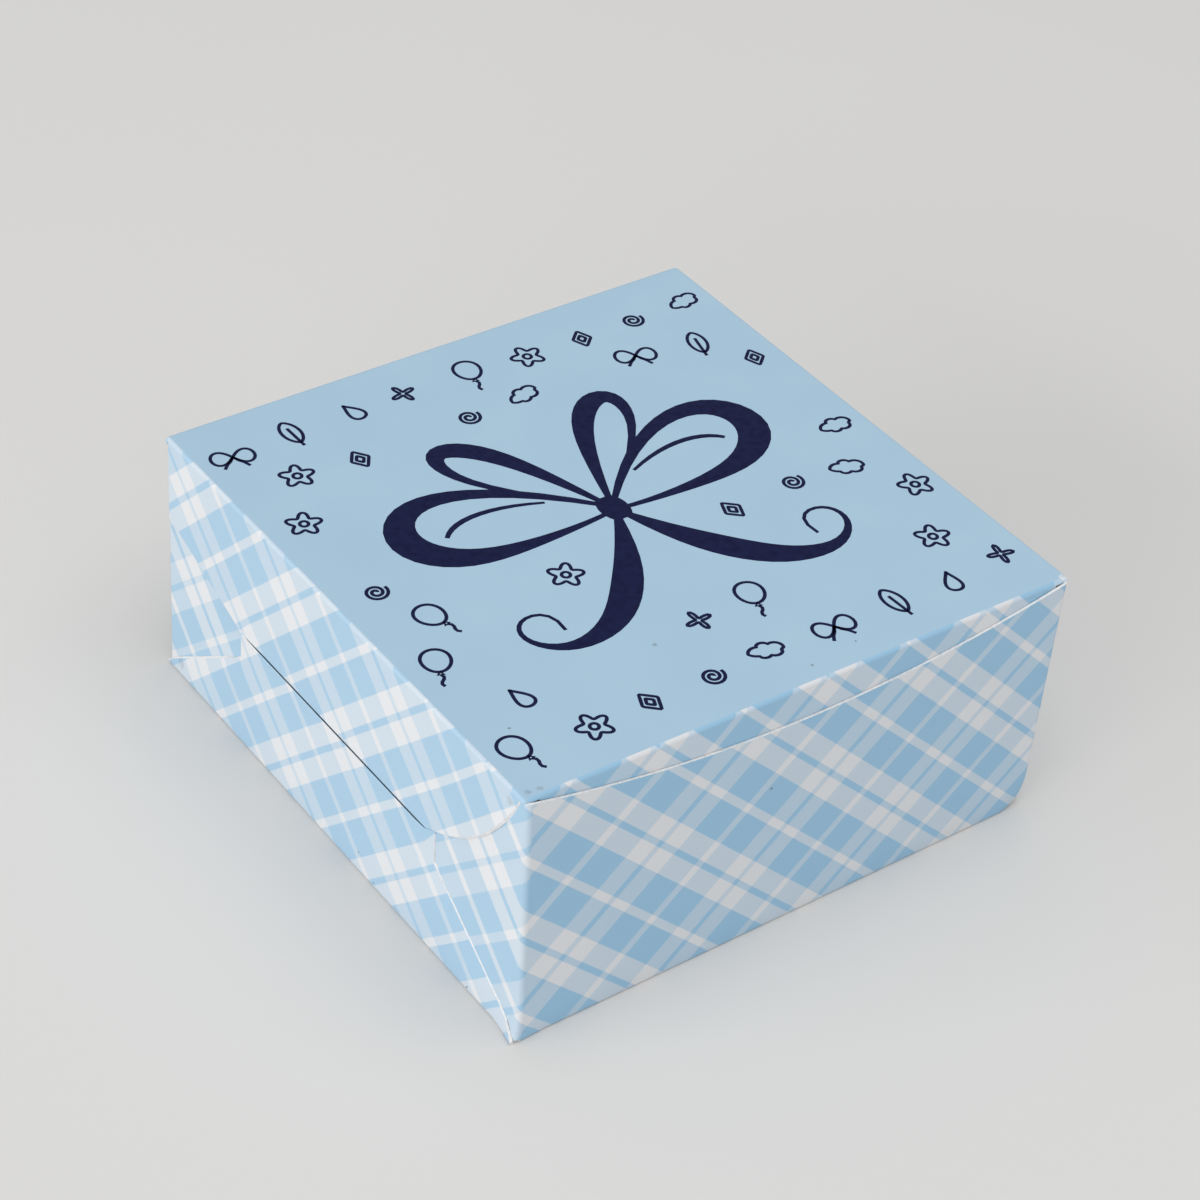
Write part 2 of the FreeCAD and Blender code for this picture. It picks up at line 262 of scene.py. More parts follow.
# Node groups: print and paper effects that several materials share.
def new_group(name, inputs, outputs):
    group = bpy.data.node_groups.new(name, "ShaderNodeTree")
    for label, kind, value in inputs:
        socket = group.interface.new_socket(label, in_out="INPUT", socket_type=kind)
        if value is not None:
            socket.default_value = value
    for label, kind in outputs:
        group.interface.new_socket(label, in_out="OUTPUT", socket_type=kind)
    enter = group.nodes.new("NodeGroupInput")
    leave = group.nodes.new("NodeGroupOutput")
    return group, enter, leave


def math_node(tree, operation, first, second=None, third=None):
    node = tree.nodes.new("ShaderNodeMath")
    node.operation = operation
    for socket, value in zip(node.inputs, (first, second, third)):
        if value is None:
            continue
        if isinstance(value, (int, float)):
            socket.default_value = value
        else:
            tree.links.new(value, socket)
    return node.outputs[0]


def ramp_node(tree, value, start, end, low=0.0, high=1.0):
    """A smooth step from low to high while value goes from start to end."""
    node = tree.nodes.new("ShaderNodeMapRange")
    node.interpolation_type = "SMOOTHSTEP"
    tree.links.new(value, node.inputs["Value"])
    node.inputs["From Min"].default_value = start
    node.inputs["From Max"].default_value = end
    node.inputs["To Min"].default_value = low
    node.inputs["To Max"].default_value = high
    return node.outputs["Result"]


def mix_node(tree, factor, first, second, kind="MIX"):
    node = tree.nodes.new("ShaderNodeMix")
    node.data_type = "RGBA"
    node.blend_type = kind
    for label, value in (("Factor", factor), ("A", first), ("B", second)):
        socket = next(s for s in node.inputs if s.name == label and s.enabled)
        if isinstance(value, (int, float, tuple)):
            socket.default_value = value
        else:
            tree.links.new(value, socket)
    return next(s for s in node.outputs if s.enabled)


def noise_node(tree, vector, scale, detail, roughness=0.5):
    node = tree.nodes.new("ShaderNodeTexNoise")
    tree.links.new(vector, node.inputs["Vector"])
    node.inputs["Scale"].default_value = scale
    node.inputs["Detail"].default_value = detail
    node.inputs["Roughness"].default_value = roughness
    return node.outputs["Fac"]


def stripe_group():
    """One family of plaid stripes: a pale band with a blue line in it, and a thin line half-way on."""
    group, enter, leave = new_group(
        "plaid_stripe",
        (("Repeat", "NodeSocketFloat", 0.0),),
        (("Pale", "NodeSocketFloat"),),
    )
    away = math_node(group, "PINGPONG", enter.outputs["Repeat"], 0.5)
    after_line = ramp_node(group, away, LINE_HALF, LINE_HALF + STRIPE_BLUR)
    before_ground = ramp_node(group, away, BAND_HALF, BAND_HALF + STRIPE_BLUR, 1.0, 0.0)
    band = math_node(group, "MULTIPLY", after_line, before_ground)
    thin = ramp_node(group, away, THIN_LINE, THIN_LINE + STRIPE_BLUR)
    pale = math_node(group, "MAXIMUM", band, thin)
    group.links.new(pale, leave.inputs["Pale"])
    return group


def grain_group():
    """Coated board: a faint mottle in the print, and fine fibres in the surface."""
    group, enter, leave = new_group(
        "board_grain",
        (("Coarse", "NodeSocketFloat", 90.0), ("Fine", "NodeSocketFloat", 2600.0)),
        (("Mottle", "NodeSocketFloat"), ("Height", "NodeSocketFloat")),
    )
    place = group.nodes.new("ShaderNodeTexCoord").outputs["Object"]
    for scale, detail, label in (("Coarse", 5.0, "Mottle"), ("Fine", 3.0, "Height")):
        noise = group.nodes.new("ShaderNodeTexNoise")
        group.links.new(place, noise.inputs["Vector"])
        group.links.new(enter.outputs[scale], noise.inputs["Scale"])
        noise.inputs["Detail"].default_value = detail
        group.links.new(noise.outputs["Fac"], leave.inputs[label])
    return group


def wear_group():
    """Where folds and corners rub: the middle one of the distances to the box's sides is small."""
    group, enter, leave = new_group(
        "fold_wear",
        (("Reach", "NodeSocketFloat", WEAR_REACH),),
        (("Wear", "NodeSocketFloat"),),
    )
    place = group.nodes.new("ShaderNodeTexCoord").outputs["Object"]
    axes = group.nodes.new("ShaderNodeSeparateXYZ")
    group.links.new(place, axes.inputs["Vector"])
    side = math_node(group, "SUBTRACT", HALF_WIDTH, math_node(group, "ABSOLUTE", axes.outputs["X"]))
    end = math_node(group, "SUBTRACT", HALF_DEPTH, math_node(group, "ABSOLUTE", axes.outputs["Y"]))
    above = math_node(group, "SUBTRACT", TOP, axes.outputs["Z"])
    level = math_node(group, "MINIMUM", above, axes.outputs["Z"])
    smaller = math_node(group, "MINIMUM", side, end)
    larger = math_node(group, "MAXIMUM", side, end)
    middle = math_node(group, "MAXIMUM", smaller, math_node(group, "MINIMUM", larger, level))
    rough = noise_node(group, place, scale=160.0, detail=4.0, roughness=0.6)
    uneven = math_node(group, "MULTIPLY", rough, 2.0)
    reach = math_node(group, "MULTIPLY", enter.outputs["Reach"], uneven)
    near = math_node(group, "SUBTRACT", 1.0, math_node(group, "DIVIDE", middle, reach))
    group.links.new(ramp_node(group, near, 0.0, 0.9), leave.inputs["Wear"])
    return group


def mark_group():
    """A mark, dense at its centre and breaking up into grains towards its reach: scuffs and specks of
    dirt, and one soft spot of painted shade.
    """
    group, enter, leave = new_group(
        "spot_mark_and_shade",
        (("Centre", "NodeSocketVector", (0.0, 0.0, 0.0)), ("Reach", "NodeSocketFloat", 0.002)),
        (("Mark", "NodeSocketFloat"),),
    )
    place = group.nodes.new("ShaderNodeTexCoord").outputs["Object"]
    away = group.nodes.new("ShaderNodeVectorMath")
    away.operation = "DISTANCE"
    group.links.new(place, away.inputs[0])
    group.links.new(enter.outputs["Centre"], away.inputs[1])
    share = math_node(group, "DIVIDE", away.outputs["Value"], enter.outputs["Reach"])
    near = math_node(group, "SUBTRACT", 1.0, share)
    grains = noise_node(group, place, scale=2200.0, detail=3.0, roughness=0.6)
    mark = ramp_node(group, math_node(group, "MULTIPLY", near, grains), 0.2, 0.42)
    group.links.new(mark, leave.inputs["Mark"])
    return group


STRIPE = stripe_group()
GRAIN = grain_group()
WEAR = wear_group()
MARK = mark_group()


def use_group(tree, group, **values):
    node = tree.nodes.new("ShaderNodeGroup")
    node.node_tree = group
    for label, value in values.items():
        if isinstance(value, (int, float, tuple)):
            node.inputs[label].default_value = value
        else:
            tree.links.new(value, node.inputs[label])
    return node


def add_mark(tree, colour, shade, centre, reach, strength):
    """Lays one mark over a colour. centre and reach are in millimetres."""
    mark = use_group(tree, MARK, Centre=tuple(value * MM for value in centre), Reach=reach * MM)
    return mix_node(tree, math_node(tree, "MULTIPLY", mark.outputs["Mark"], strength), colour, shade)


def new_material(name, colour, roughness):
    material = bpy.data.materials.new(name)
    material.use_nodes = True
    material.diffuse_color = colour
    shader = material.node_tree.nodes["Principled BSDF"]
    shader.inputs["Base Color"].default_value = colour
    shader.inputs["Roughness"].default_value = roughness
    return material, material.node_tree, shader


def bump(tree, shader, height, strength, distance):
    node = tree.nodes.new("ShaderNodeBump")
    node.inputs["Strength"].default_value = strength
    node.inputs["Distance"].default_value = distance
    tree.links.new(height, node.inputs["Height"])
    tree.links.new(node.outputs["Normal"], shader.inputs["Normal"])


def vary_roughness(tree, shader, grain, low, high):
    """Lets the roughness follow the mottle of the board."""
    rough = ramp_node(tree, grain.outputs["Mottle"], 0.2, 0.8, low, high)
    tree.links.new(rough, shader.inputs["Roughness"])


def finish_print(tree, shader, colour, grain, marks):
    """The varnished print over its board: mottle, rubbed folds, marks and fibres."""
    mottle = ramp_node(tree, grain.outputs["Mottle"], 0.25, 0.75)
    tone = mix_node(tree, mottle, MOTTLE_TONE, FULL_TONE)
    toned = mix_node(tree, 1.0, colour, tone, "MULTIPLY")
    wear = use_group(tree, WEAR, Reach=WEAR_REACH)
    rubbed = math_node(tree, "MULTIPLY", wear.outputs["Wear"], WEAR_STRENGTH)
    worn_and_shaded = mix_node(tree, rubbed, toned, EDGE_WHITE)
    # Marks: scuffs and dirt, and on the plaid one spot of painted shade.
    for centre, reach, strength in marks:
        worn_and_shaded = add_mark(tree, worn_and_shaded, DIRT_AND_SHADE, centre, reach, strength)
    tree.links.new(worn_and_shaded, shader.inputs["Base Color"])
    vary_roughness(tree, shader, grain, low=0.46, high=0.58)
    shader.inputs["Specular IOR Level"].default_value = 0.32
    bump(tree, shader, grain.outputs["Height"], strength=0.12, distance=0.04 * MM)


def plaid_material():
    material, tree, shader = new_material("plaid_print", PRINT_BLUE, roughness=0.5)
    repeats = tree.nodes.new("ShaderNodeUVMap")
    repeats.uv_map = "plaid"
    axes = tree.nodes.new("ShaderNodeSeparateXYZ")
    tree.links.new(repeats.outputs["UV"], axes.inputs["Vector"])
    main = use_group(tree, STRIPE, Repeat=axes.outputs["X"])
    cross = use_group(tree, STRIPE, Repeat=axes.outputs["Y"])
    strong = math_node(tree, "MULTIPLY", main.outputs["Pale"], MAIN_WHITE)
    white = math_node(tree, "MULTIPLY_ADD", cross.outputs["Pale"], CROSS_WHITE, strong)
    place = tree.nodes.new("ShaderNodeSeparateXYZ")
    tree.links.new(tree.nodes.new("ShaderNodeTexCoord").outputs["Object"], place.inputs["Vector"])
    # Painted shade: towards the front, and away from the front corners, the blue deepens into the shaded
    # front blue.
    toward_front_shade = ramp_node(tree, place.outputs["Y"], FRONT_SHADE_START, FRONT_SHADE_FULL)
    across = math_node(tree, "ABSOLUTE", place.outputs["X"])
    front_shade = math_node(tree, "MULTIPLY", toward_front_shade, ramp_node(tree, across, WING_FACE, WALL_HALF))
    blue = mix_node(tree, front_shade, PRINT_BLUE, SHADED_FRONT_BLUE)
    colour = mix_node(tree, white, blue, PRINT_WHITE)
    finish_print(tree, shader, colour, use_group(tree, GRAIN), PLAID_MARKS_AND_SHADE)
    return material


def lid_material():
    material, tree, shader = new_material("lid_print", LID_BLUE, roughness=0.5)
    grain = use_group(tree, GRAIN, Coarse=60.0)
    broad = ramp_node(tree, grain.outputs["Mottle"], 0.3, 0.7)
    colour = mix_node(tree, broad, LID_BLUE, LID_PALE)
    colour = add_mark(tree, colour, EDGE_WHITE, RUBBED_TIP, RUBBED_REACH, RUBBED_STRENGTH)
    finish_print(tree, shader, colour, grain, LID_MARKS)
    return material


def board_material(name, colour, shade):
    """Bare board: pale pulp with darker fibres."""
    material, tree, shader = new_material(name, colour, roughness=0.85)
    grain = use_group(tree, GRAIN, Coarse=1500.0, Fine=3200.0)
    pulp = ramp_node(tree, grain.outputs["Mottle"], 0.28, 0.6)
    tree.links.new(mix_node(tree, pulp, shade, colour), shader.inputs["Base Color"])
    vary_roughness(tree, shader, grain, low=0.78, high=0.92)
    shader.inputs["Specular IOR Level"].default_value = 0.2
    bump(tree, shader, grain.outputs["Height"], strength=0.3, distance=0.06 * MM)
    return material


def ink_material():
    material, tree, shader = new_material("navy_ink", NAVY, roughness=0.55)
    grain = use_group(tree, GRAIN, Coarse=700.0)
    thin = ramp_node(tree, grain.outputs["Mottle"], 0.35, 0.7)
    tree.links.new(mix_node(tree, thin, THIN_NAVY, NAVY), shader.inputs["Base Color"])
    vary_roughness(tree, shader, grain, low=0.5, high=0.62)
    shader.inputs["Specular IOR Level"].default_value = 0.12
    bump(tree, shader, grain.outputs["Height"], strength=0.1, distance=0.03 * MM)
    return material


def glue_material():
    material, tree, shader = new_material("glue", GLUE_TAN, roughness=0.35)
    grain = use_group(tree, GRAIN, Coarse=260.0, Fine=900.0)
    cloudy = ramp_node(tree, grain.outputs["Mottle"], 0.3, 0.7)
    tree.links.new(mix_node(tree, cloudy, GLUE_DARK, GLUE_PALE), shader.inputs["Base Color"])
    bump(tree, shader, grain.outputs["Height"], strength=0.4, distance=0.08 * MM)
    return material


def floor_material():
    material, tree, shader = new_material("floor", FLOOR_GREY, roughness=0.9)
    place = tree.nodes.new("ShaderNodeTexCoord").outputs["Object"]
    cloud = noise_node(tree, place, scale=5.0, detail=3.0)
    tree.links.new(mix_node(tree, cloud, FLOOR_GREY, FLOOR_PALE), shader.inputs["Base Color"])
    shader.inputs["Specular IOR Level"].default_value = 0.1
    return material


PLAID = plaid_material()
LID_PRINT = lid_material()
BARE_BOARD = board_material("plain_board", BOARD_WHITE, BOARD_SHADE)
CUT_EDGE = board_material("cut_edge", EDGE_WHITE, EDGE_SHADE)
INK = ink_material()
GLUE = glue_material()
FLOOR = floor_material()


def print_slot(material):
    return "plaid_print" if material == PLAID else "lid_print"


# Modelling helpers.
def clear_selection():
    if bpy.context.mode != "OBJECT":
        bpy.ops.object.mode_set(mode="OBJECT")
    bpy.ops.object.select_all(action="DESELECT")


def make_active(piece):
    clear_selection()
    piece.select_set(True)
    bpy.context.view_layer.objects.active = piece


def edit_all(piece):
    make_active(piece)
    bpy.ops.object.mode_set(mode="EDIT")
    bpy.ops.mesh.select_all(action="SELECT")


def edit_where(piece, test):
    """Goes into edit mode with the edges selected whose two ends pass the test."""
    make_active(piece)
    bpy.ops.object.mode_set(mode="EDIT")
    bpy.ops.mesh.select_mode(type="EDGE")
    bpy.ops.mesh.select_all(action="DESELECT")
    leave_edit()
    points = piece.data.vertices
    for edge in piece.data.edges:
        if all(test(points[index].co) for index in edge.vertices):
            edge.select = True
            for index in edge.vertices:
                points[index].select = True
    bpy.ops.object.mode_set(mode="EDIT")


def leave_edit():
    bpy.ops.object.mode_set(mode="OBJECT")


def take_new(name, scale=(1.0, 1.0, 1.0)):
    """Names the mesh that was just added, and applies its place, turn and scale."""
    piece = bpy.context.object
    piece.name = name
    piece.data.name = name
    piece.scale = scale
    bpy.ops.object.transform_apply(location=True, rotation=True, scale=True)
    return piece


def new_sheet(name, across, up, centre, turn, grid):
    """A flat grid of board, across by up, stood up by turn."""
    columns, rows = grid
    clear_selection()
    bpy.ops.mesh.primitive_grid_add(
        x_subdivisions=columns, y_subdivisions=rows, size=1.0, location=centre, rotation=turn
    )
    return take_new(name, (across, up, 1.0))


def trim(sheet, point, outward):
    """Cuts off what lies beyond the plane through point."""
    edit_all(sheet)
    bpy.ops.mesh.bisect(plane_co=point, plane_no=outward, clear_outer=True)
    leave_edit()


def trim_round(sheet, centre, radius, along, up, first, last, steps):
    """Rounds an outline with a fan of straight cuts about centre, from the angle first to last."""
    for step in range(steps):
        angle = first + (last - first) * (step + 0.5) / steps
        outward = along * math.cos(angle) + up * math.sin(angle)
        trim(sheet, centre + outward * radius, outward)


def fold_edge(sheet, test, centre, axis, angle, steps):
    """Carries the edges that pass the test round a fold."""
    edit_where(sheet, test)
    bpy.ops.mesh.spin(steps=steps, angle=angle, center=centre, axis=axis)
    leave_edit()


def face_outwards(sheet, outward):
    """Turns the faces of an open sheet so that they look along outward."""
    edit_all(sheet)
    bpy.ops.mesh.remove_doubles(threshold=NEAR)
    bpy.ops.mesh.normals_make_consistent(inside=False)
    leave_edit()
    total = sum((face.normal * face.area for face in sheet.data.polygons), Vector())
    if total.dot(outward) < 0:
        edit_all(sheet)
        bpy.ops.mesh.flip_normals()
        leave_edit()


def fade(value, start, end):
    """0 at start, 1 at end, smooth between."""
    share = min(max((value - start) / (end - start), 0.0), 1.0)
    return share * share * (3 - 2 * share)


def lean_back(sheet, reach, push=0.0):
    """Leans the front of the box back, most at the top left, and pushes that corner out to the left."""
    for point in sheet.data.vertices:
        place = point.co
        leftness = (HALF_WIDTH - place.x) / (2 * HALF_WIDTH)
        frontness = min(max((HALF_DEPTH - place.y) / (2 * HALF_DEPTH), 0.0), 1.0)
        lift = min(max(place.z / TOP, 0.0), 1.0)
        place.x -= push * leftness ** PUSH_POWER * fade(-place.y, PUSH_START, HALF_DEPTH) * lift
        place.y += reach * leftness * frontness * lift


def crush(sheet):
    """Knocks in the bottom corner at the front right, and splays the one at the front left."""
    for side, push in ((1, RIGHT_CRUSH), (-1, LEFT_SPLAY)):
        corner = Vector((side * HALF_WIDTH, -HALF_DEPTH, 0))
        for point in sheet.data.vertices:
            near = max(1 - (point.co - corner).length / CRUSH_REACH, 0.0) ** CRUSH_POWER
            point.co += push * near


def thicken(sheet, outside):
    """Gives a sheet the board's thickness behind its printed face."""
    make_active(sheet)
    sheet.data.materials.clear()
    for material in (outside, BARE_BOARD, CUT_EDGE):
        sheet.data.materials.append(material)
    solid = sheet.modifiers.new("board", "SOLIDIFY")
    solid.thickness = BOARD
    solid.offset = -1.0
    solid.use_even_offset = True
    solid.material_offset = 1
    solid.material_offset_rim = 2
    bpy.ops.object.modifier_apply(modifier=solid.name)
    bpy.ops.object.shade_smooth_by_angle(angle=SMOOTH_ANGLE)


def print_plaid(sheet, repeats):
    """Lays the plaid on a sheet: repeats gives the stripe counts at a place."""
    layer = sheet.data.uv_layers.new(name="plaid")
    sheet.data.uv_layers.active = layer
    for loop in sheet.data.loops:
        layer.data[loop.index].uv = repeats(sheet.data.vertices[loop.vertex_index].co)


def settle(sheet, body, node):
    """Puts a finished sheet on its body in place of its solid. A sheet that bends has no one body."""
    if body:
        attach(sheet, body)
    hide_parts(node)


# Plaid: stripe counts of the two families from millimetres across and down.
def family(period, degrees, phase):
    turn = math.radians(degrees)

    def count(across, down):
        return (across * math.cos(turn) + down * math.sin(turn)) / period - phase
    return count


FLAP_MAIN = family(23.00, 44.48, 0.470)
FLAP_CROSS = family(21.53, -47.35, 0.987)
SIDE_MAIN = family(22.88, 44.78, 0.523)
SIDE_CROSS = family(22.08, -47.06, 0.908)
WALL_MAIN = family(22.80, -45.76, 0.171)
WING_CROSS = family(23.2, 46.2, 0.483)
BACK_MAIN = family(22.9, -45.0, 0.48)
BACK_CROSS = family(21.7, 47.5, 0.12)
TUCK_MAIN = family(22.9, -45.0, 0.76)
TUCK_CROSS = family(21.7, 47.5, 0.74)

CROSS_ACROSS = 0.6593
CROSS_DOWN = 0.7518
CROSS_START = -1.2744
CROSS_RATE = 0.03815
CROSS_GAIN = 0.0000703


def wall_cross(across, down):
    """The front wall's cross stripes, which draw closer to the right."""
    along = CROSS_ACROSS * across + CROSS_DOWN * down
    return CROSS_START + CROSS_RATE * along + CROSS_GAIN * along * along


def depth_down(place):
    return (TOP - place.z) / MM


def from_back(place):
    return (HALF_DEPTH - place.y) / MM


def from_left(place):
    return (HALF_WIDTH + place.x) / MM


def round_corner_run(place):
    """How far a point on a wing has gone from its wall, round the upright fold and along the side."""
    bend = HALF_DEPTH - CORNER_RADIUS
    past = abs(place.y) - bend
    if past <= 0:
        return CORNER_RADIUS * math.pi / 2 - past
    return CORNER_RADIUS * math.atan2(abs(place.x) - WALL_HALF, past)


def from_middle(place):
    """How far a point lies from the middle of the front or back wall, along it and its wings."""
    reach = min(abs(place.x), WALL_HALF)
    if abs(place.x) > WALL_HALF:
        reach += round_corner_run(place)
    return math.copysign(reach, place.x)


def front_across(place):
    """Millimetres from the left along the front wall and its wings."""
    return (HALF_WIDTH + from_middle(place)) / MM


def back_across(place):
    """Millimetres along the back wall and its wings, counted from the back on the back left wing."""
    start = CORNER_RADIUS - CORNER_RADIUS * math.pi / 2 - WALL_HALF
    return (start - from_middle(place)) / MM


def left_wing_cross(across, down):
    """The front left wing counts its own cross stripes, from the back of the box."""
    unrolled = 2 * HALF_DEPTH - CORNER_RADIUS * (1 - math.pi / 2) - (HALF_WIDTH - WALL_HALF)
    return WING_CROSS(across + unrolled / MM, down)


def stripes(across, main, cross):
    """The two stripe counts at a place, from its millimetres across and down."""
    def repeats(place):
        return main(across(place), depth_down(place)), cross(across(place), depth_down(place))
    return repeats


flap_repeats = stripes(from_back, FLAP_MAIN, FLAP_CROSS)
side_repeats = stripes(from_back, SIDE_MAIN, SIDE_CROSS)
front_repeats = stripes(front_across, WALL_MAIN, wall_cross)
left_wing_repeats = stripes(front_across, WALL_MAIN, left_wing_cross)
back_repeats = stripes(back_across, BACK_MAIN, BACK_CROSS)
tuck_repeats = stripes(from_left, TUCK_MAIN, TUCK_CROSS)


# The carton: base, walls, side panels and wings.
def base():
    low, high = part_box("base_panel")
    sheet = new_sheet("base_sheet", high.x - low.x, high.y - low.y, (0, 0, 0), DOWN, BASE_GRID)
    thicken(sheet, BARE_BOARD)
    crush(sheet)
    settle(sheet, "carton", "base_panel")


def at_foot(place):
    """Whether a point lies where a wall starts to bend into the base."""
    return place.z < FOOT + NEAR


def wall(node, turn, facing, top, repeats, hollow=0.0, lean=0.0, push=0.0):
    """A wall that rises from the base round its fold. hollow is the depth of the arc in its top."""
    face = facing * HALF_DEPTH
    middle = (0, face, (FOOT + top) / 2)
    sheet = new_sheet(node + "_sheet", 2 * WALL_HALF, top - FOOT, middle, turn, WALL_GRID)
    if hollow:
        radius = (WALL_HALF ** 2 + hollow ** 2) / (2 * hollow)
        for point in sheet.data.vertices:
            dip = hollow - radius + math.sqrt(radius ** 2 - point.co.x ** 2)
            point.co.z = FOOT + (point.co.z - FOOT) * (top - FOOT - dip) / (top - FOOT)
    centre = (0, face - facing * FOOT, FOOT)
    fold_edge(sheet, at_foot, centre, (1, 0, 0), facing * math.pi / 2, FOOT_STEPS)
    face_outwards(sheet, Vector((0, facing, 0)))
    thicken(sheet, PLAID)
    print_plaid(sheet, repeats)
    lean_back(sheet, lean, push)
    crush(sheet)
    settle(sheet, "carton", node)


def press_down(sheet, facing):
    """Presses a side panel's glued ends flat on the wings, and bevels the top edge of its tongue. That
    edge takes the plaid print instead of the white board: painted shade that makes the slit read as a
    dark blue gap.
    """
    run = Vector((SHOULDER_HEIGHT - FOOT, SIDE_HALF - TONGUE_HALF)).normalized()
    for point in sheet.data.vertices:
        place = point.co
        outer = abs(place.x) > HALF_WIDTH - BOARD / 2
        inset = TONGUE_HALF - abs(place.y)
        if place.z < SHOULDER_HEIGHT + NEAR:
            inset = -run.dot(Vector((abs(place.y) - SIDE_HALF, place.z - FOOT)))
            if place.z > FOOT and abs(inset) < EDGE_NEAR and not outer:
                place.y += math.copysign(EDGE_BEVEL * run[0], place.y)
                place.z += EDGE_BEVEL * run[1]
        if place.z > TONGUE_TOP - NEAR:
            place.z -= SLIT_OPEN * fade(inset, 0.0, 2 * PRESS_REACH)
            if place.y < 0:
                place.z += TONGUE_TIP * (1 - fade(inset, 0.0, PRESS_REACH))
            if not outer:
                place.z -= SLIT_BEVEL
        press = EDGE_PRESS if outer else EDGE_PRESS * INSIDE_PRESS
        if place.y > 0:
            press *= BACK_PRESS
        if place.z > FOOT:
            place.x -= facing * press * (1 - fade(inset, 0.0, PRESS_REACH))
    # Painted shade: the tongue's top cut edge and the top of its inside are given the plaid print, not
    # the white board, so the slit looks dark blue.
    for face in sheet.data.polygons:
        if face.center.z > TONGUE_TOP - SLIT_BEVEL - SLIT_OPEN:
            face.material_index = 0


def side_panel(name, node, turn, facing):
    """A side panel: slanted ends that are glued to the wings, and a square tongue on top."""
    face = facing * HALF_WIDTH
    middle = (FOOT + SHOULDER_HEIGHT) / 2
    sheet = new_sheet(name, 2 * SIDE_HALF, SHOULDER_HEIGHT - FOOT, (face, 0, middle), turn, SIDE_GRID)
    for end in (-1, 1):
        slope = Vector((0, end * (SHOULDER_HEIGHT - FOOT), SIDE_HALF - TONGUE_HALF)).normalized()
        trim(sheet, (face, end * SIDE_HALF, FOOT), slope)
    edit_where(sheet, lambda co: co.z > SHOULDER_HEIGHT - NEAR)
    bpy.ops.mesh.extrude_region_move(
        TRANSFORM_OT_translate={"value": (0, 0, TONGUE_TOP - SHOULDER_HEIGHT)}
    )
    leave_edit()
    centre = (face - facing * FOOT, 0, FOOT)
    fold_edge(sheet, at_foot, centre, (0, 1, 0), -facing * math.pi / 2, FOOT_STEPS)
    face_outwards(sheet, Vector((facing, 0, 0)))
    thicken(sheet, PLAID)
    print_plaid(sheet, side_repeats)
    press_down(sheet, facing)
    crush(sheet)
    settle(sheet, "carton", node)


def wing(node, turn, facing, end, wall_top, repeats, lean=0.0, push=0.0):
    """A wing: from its wall round the upright fold and along the side, behind the side panel."""
    face = facing * WING_FACE
    bend = HALF_DEPTH - CORNER_RADIUS
    length = bend - WING_END
    middle = (face, end * (bend + WING_END) / 2, (FOOT + WING_TOP) / 2)
    sheet = new_sheet(node + "_sheet", length, WING_TOP - FOOT, middle, turn, WING_GRID)
    along = Vector((0, -end, 0))
    for level, first in ((FOOT + WING_ROUND, -math.pi / 2), (WING_TOP - WING_ROUND, 0.0)):
        centre = Vector((face, end * (WING_END + WING_ROUND), level))
        trim_round(sheet, centre, WING_ROUND, along, UP, first, first + math.pi / 2, ROUND_STEPS)
    centre = (facing * WALL_HALF, end * bend, 0)
    turn_angle = -facing * end * math.pi / 2
    fold_edge(sheet, lambda co: abs(co.y) > bend - NEAR, centre, (0, 0, 1), turn_angle, CREASE_STEPS)
    for point in sheet.data.vertices:
        rise = fade(abs(point.co.y), bend - CORNER_RADIUS, bend) * (wall_top - WING_TOP)
        point.co.z += rise * (point.co.z - FOOT) / (WING_TOP - FOOT)
    face_outwards(sheet, Vector((facing, 0, 0)))
    thicken(sheet, PLAID)
    print_plaid(sheet, repeats)
    lean_back(sheet, lean, push)
    crush(sheet)
    settle(sheet, "carton", node)


def wings():
    for side, turn, facing, front in (
        ("left", LEFT, -1, left_wing_repeats),
        ("right", RIGHT, 1, front_repeats),
    ):
        wing(f"front_{side}_wing", turn, facing, -1, WALL_TOP, front, WALL_LEAN, CORNER_PUSH)
        wing(f"back_{side}_wing", turn, facing, 1, BACK_TOP, back_repeats)


# The lid, its flaps and the creases that carry them.
def lid():
    middle = (0, (LID_FRONT + LID_BACK) / 2, TOP)
    sheet = new_sheet("lid_sheet", 2 * LID_HALF, LID_BACK - LID_FRONT, middle, FLAT, LID_GRID)
    thicken(sheet, LID_PRINT)
    lean_back(sheet, LID_LEAN)
    settle(sheet, "lid", "lid_panel")


def lid_flap(name, body, node, turn, facing):
    """A side flap of the lid: cut on a slant at the back, and round as an ear at the front."""
    face = facing * HALF_WIDTH
    high = TOP - FOLD_RADIUS
    middle = (face, (FLAP_BACK + FLAP_FRONT) / 2, (FLAP_LOW + high) / 2)
    sheet = new_sheet(name, FLAP_BACK - FLAP_FRONT, high - FLAP_LOW, middle, turn, FLAP_GRID)
    slope = Vector((0, FLAP_BACK_LOW - FLAP_LOW, TONGUE_HALF - FLAP_BACK)).normalized()
    trim(sheet, (face, TONGUE_HALF, FLAP_LOW), slope)
    ear_start = Vector((face, -TONGUE_HALF, FLAP_LOW + EAR_LIFT))
    ear_end = Vector((face, FLAP_FRONT, FLAP_FRONT_LOW + EAR_LIFT))
    chord = ear_end - ear_start
    inward = Vector((0, chord.z, -chord.y)).normalized()
    rise = math.sqrt(EAR_RADIUS ** 2 - chord.length_squared / 4)
    centre = (ear_start + ear_end) / 2 + inward * rise
    spokes = (ear_start - centre, ear_end - centre)
    first, last = (math.atan2(spoke.z, -spoke.y) for spoke in spokes)
    trim_round(sheet, centre, EAR_RADIUS, Vector((0, -1, 0)), UP, first, last, EAR_STEPS)
    face_outwards(sheet, Vector((facing, 0, 0)))
    thicken(sheet, PLAID)
    bevel_ear(sheet, centre)
    print_plaid(sheet, flap_repeats)
    stand_off(sheet, facing)
    settle(sheet, body, node)


